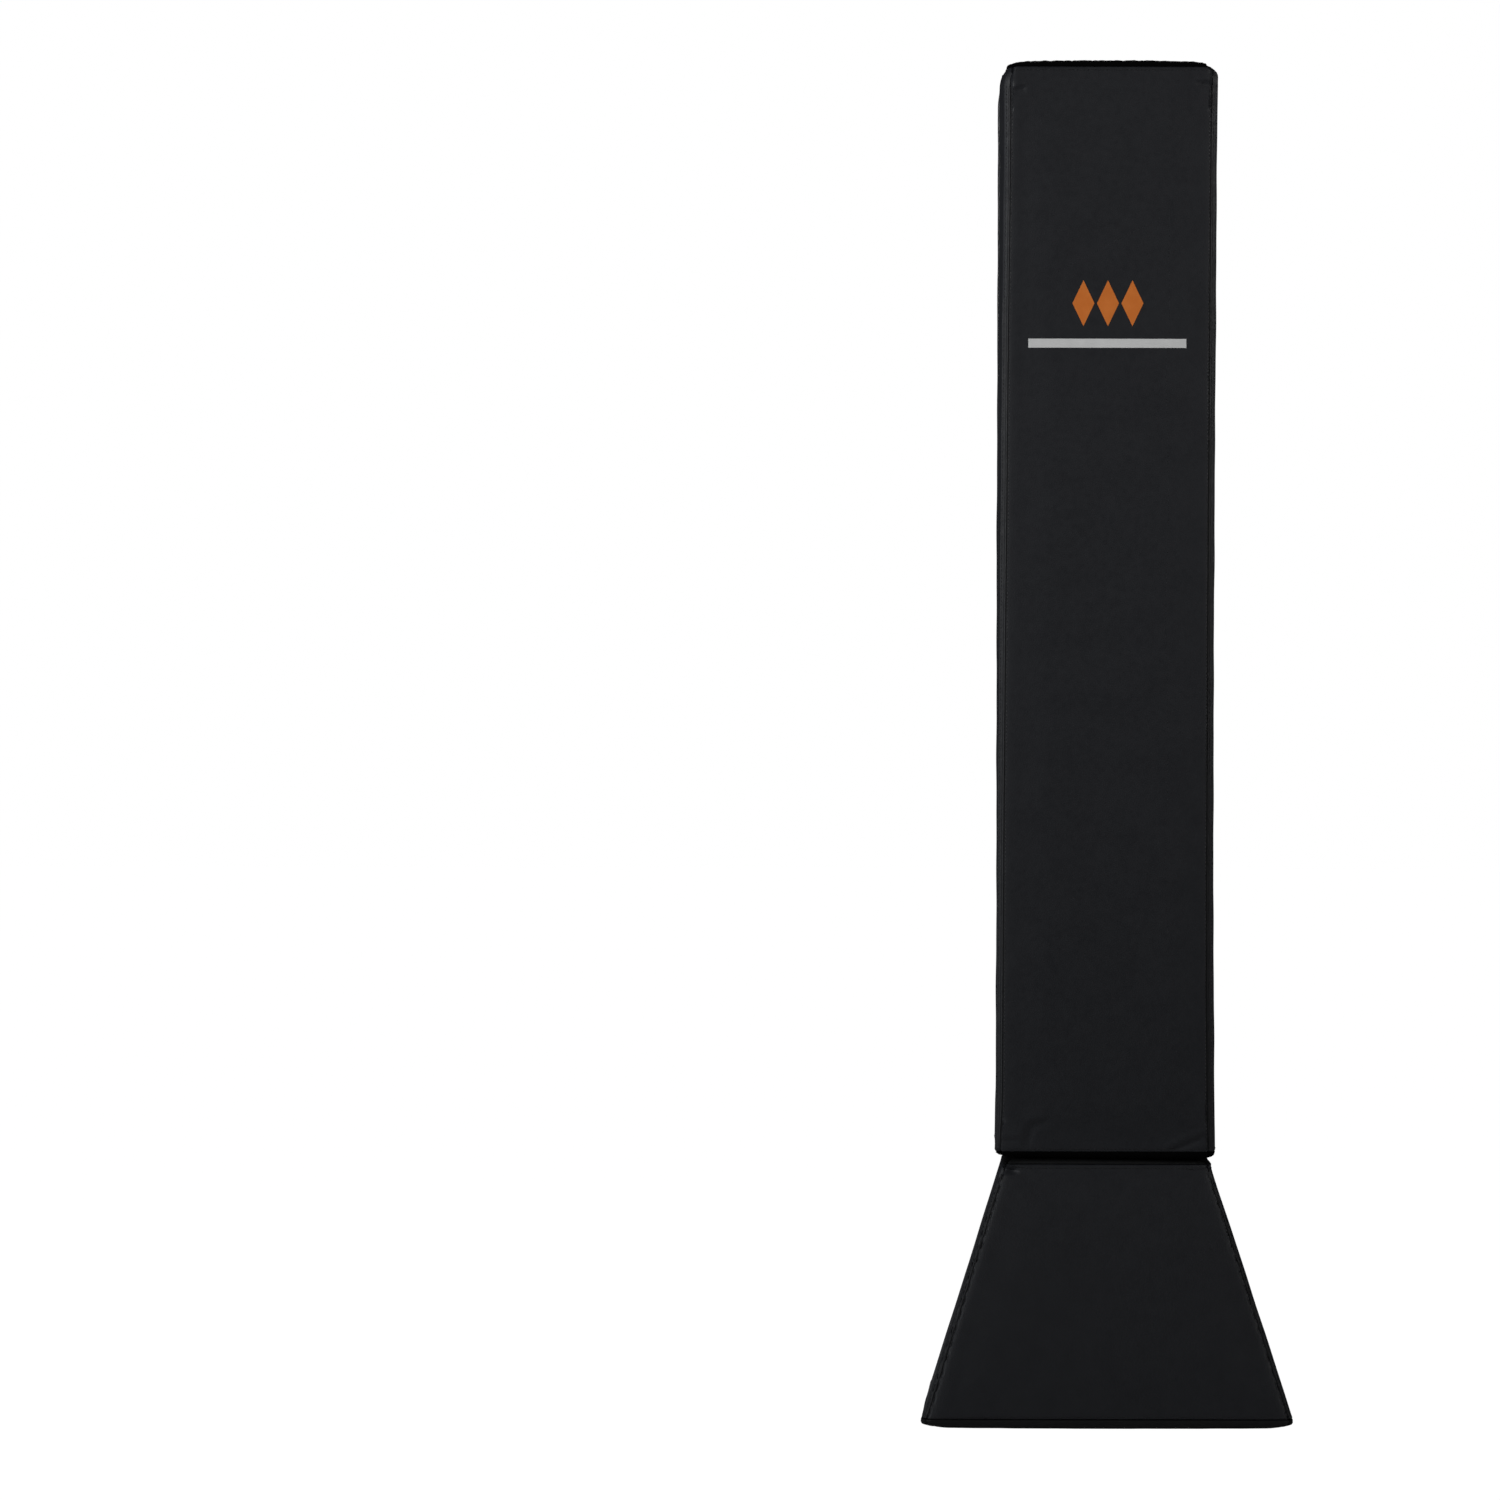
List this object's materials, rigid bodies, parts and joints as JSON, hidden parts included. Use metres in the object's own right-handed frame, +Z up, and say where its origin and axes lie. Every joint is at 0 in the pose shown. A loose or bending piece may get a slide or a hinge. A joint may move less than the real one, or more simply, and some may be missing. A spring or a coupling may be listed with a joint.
{
  "type": "basketball pole pad",
  "caption": "Padded sleeve for a square goal post: a tall three-sided pad resting on a flared foot pad, strapped shut behind.",
  "frame": {"origin": "on the floor at the pole's axis, which is the centre of the overall box's underside", "axes": "+Z up along the pole, the padded front panel faces -Y, the strapped open back faces +Y, +X to the right as seen from the front"},
  "size_m": [0.4252, 0.4266, 1.575],
  "materials": {
    "vinyl": "black coated vinyl, fine leather grain, semi-matte",
    "boxing": "black coated vinyl, fine leather grain, semi-matte",
    "welt": "black vinyl bead, stitched",
    "foam": "grey open-cell foam",
    "lining": "dark woven backing cloth",
    "webbing": "black woven webbing",
    "hook_tape": "black hook tape",
    "loop_tape": "black loop tape"
  },
  "bodies": {
    "gusset_front": {"gusset_front_cover": "vinyl", "gusset_front_top_boxing": "boxing", "gusset_front_hem": "boxing", "gusset_front_foam": "foam", "gusset_front_lining": "lining", "gusset_left_corner_welt": "welt", "gusset_right_corner_welt": "welt"},
    "gusset_left_wing": {"gusset_left_wing_cover": "vinyl", "gusset_left_wing_top_boxing": "boxing", "gusset_left_wing_hem": "boxing", "gusset_left_wing_foam": "foam", "gusset_left_wing_lining": "lining", "gusset_strap_1_sewn_end": "webbing", "gusset_strap_2_sewn_end": "webbing"},
    "gusset_right_wing": {"gusset_right_wing_cover": "vinyl", "gusset_right_wing_top_boxing": "boxing", "gusset_right_wing_hem": "boxing", "gusset_right_wing_foam": "foam", "gusset_right_wing_lining": "lining", "gusset_strap_1_loop_patch": "loop_tape", "gusset_strap_2_loop_patch": "loop_tape"},
    "gusset_strap_1": {"gusset_strap_1_webbing": "webbing", "gusset_strap_1_hook_tape": "hook_tape"},
    "gusset_strap_2": {"gusset_strap_2_webbing": "webbing", "gusset_strap_2_hook_tape": "hook_tape"},
    "main_front": {"main_front_cover": "vinyl", "main_front_top_boxing": "boxing", "main_front_bottom_boxing": "boxing", "main_front_foam": "foam", "main_front_lining": "lining", "main_left_corner_welt": "welt", "main_right_corner_welt": "welt"},
    "main_left_wing": {"main_left_wing_cover": "vinyl", "main_left_wing_top_boxing": "boxing", "main_left_wing_bottom_boxing": "boxing", "main_left_wing_foam": "foam", "main_left_wing_lining": "lining", "main_strap_1_sewn_end": "webbing", "main_strap_2_sewn_end": "webbing", "main_strap_3_sewn_end": "webbing", "main_strap_4_sewn_end": "webbing"},
    "main_right_wing": {"main_right_wing_cover": "vinyl", "main_right_wing_top_boxing": "boxing", "main_right_wing_bottom_boxing": "boxing", "main_right_wing_foam": "foam", "main_right_wing_lining": "lining", "main_strap_1_loop_patch": "loop_tape", "main_strap_2_loop_patch": "loop_tape", "main_strap_3_loop_patch": "loop_tape", "main_strap_4_loop_patch": "loop_tape"},
    "main_strap_1": {"main_strap_1_webbing": "webbing", "main_strap_1_hook_tape": "hook_tape"},
    "main_strap_2": {"main_strap_2_webbing": "webbing", "main_strap_2_hook_tape": "hook_tape"},
    "main_strap_3": {"main_strap_3_webbing": "webbing", "main_strap_3_hook_tape": "hook_tape"},
    "main_strap_4": {"main_strap_4_webbing": "webbing", "main_strap_4_hook_tape": "hook_tape"}
  },
  "joints": [
    {"name": "main_pad_lift", "type": "slide", "parent": "gusset_front", "child": "main_front", "axis": [0, 0, 1], "range_m": [0, 0.3]},
    {"name": "main_left_wing_fold", "type": "hinge", "parent": "main_front", "child": "main_left_wing", "pos_m": [-0.123, -0.123, 0.9], "axis": [0, 0, 1], "range_deg": [0, 100]},
    {"name": "main_right_wing_fold", "type": "hinge", "parent": "main_front", "child": "main_right_wing", "pos_m": [0.123, -0.123, 0.9], "axis": [0, 0, -1], "range_deg": [0, 100]},
    {"name": "gusset_left_wing_fold", "type": "hinge", "parent": "gusset_front", "child": "gusset_left_wing", "pos_m": [-0.213, -0.213, 0], "axis": [0.291, 0.291, 0.9114], "range_deg": [0, 90]},
    {"name": "gusset_right_wing_fold", "type": "hinge", "parent": "gusset_front", "child": "gusset_right_wing", "pos_m": [0.213, -0.213, 0], "axis": [0.291, -0.291, -0.9114], "range_deg": [0, 90]},
    {"name": "gusset_strap_1_peel", "type": "hinge", "parent": "gusset_left_wing", "child": "gusset_strap_1", "pos_m": [-0.14499, 0.18668, 0.09148], "axis": [0, -0.3042, 0.9526], "range_deg": [0, 120]},
    {"name": "gusset_strap_2_peel", "type": "hinge", "parent": "gusset_left_wing", "child": "gusset_strap_2", "pos_m": [-0.10271, 0.14218, 0.23086], "axis": [0, -0.3042, 0.9526], "range_deg": [0, 120]},
    {"name": "main_strap_1_peel", "type": "hinge", "parent": "main_left_wing", "child": "main_strap_1", "pos_m": [-0.089, 0.1284, 0.41775], "axis": [0, 0, 1], "range_deg": [0, 120]},
    {"name": "main_strap_2_peel", "type": "hinge", "parent": "main_left_wing", "child": "main_strap_2", "pos_m": [-0.089, 0.1284, 0.76111], "axis": [0, 0, 1], "range_deg": [0, 120]},
    {"name": "main_strap_3_peel", "type": "hinge", "parent": "main_left_wing", "child": "main_strap_3", "pos_m": [-0.089, 0.1284, 1.11719], "axis": [0, 0, 1], "range_deg": [0, 120]},
    {"name": "main_strap_4_peel", "type": "hinge", "parent": "main_left_wing", "child": "main_strap_4", "pos_m": [-0.089, 0.1284, 1.46055], "axis": [0, 0, 1], "range_deg": [0, 120]}
  ]
}
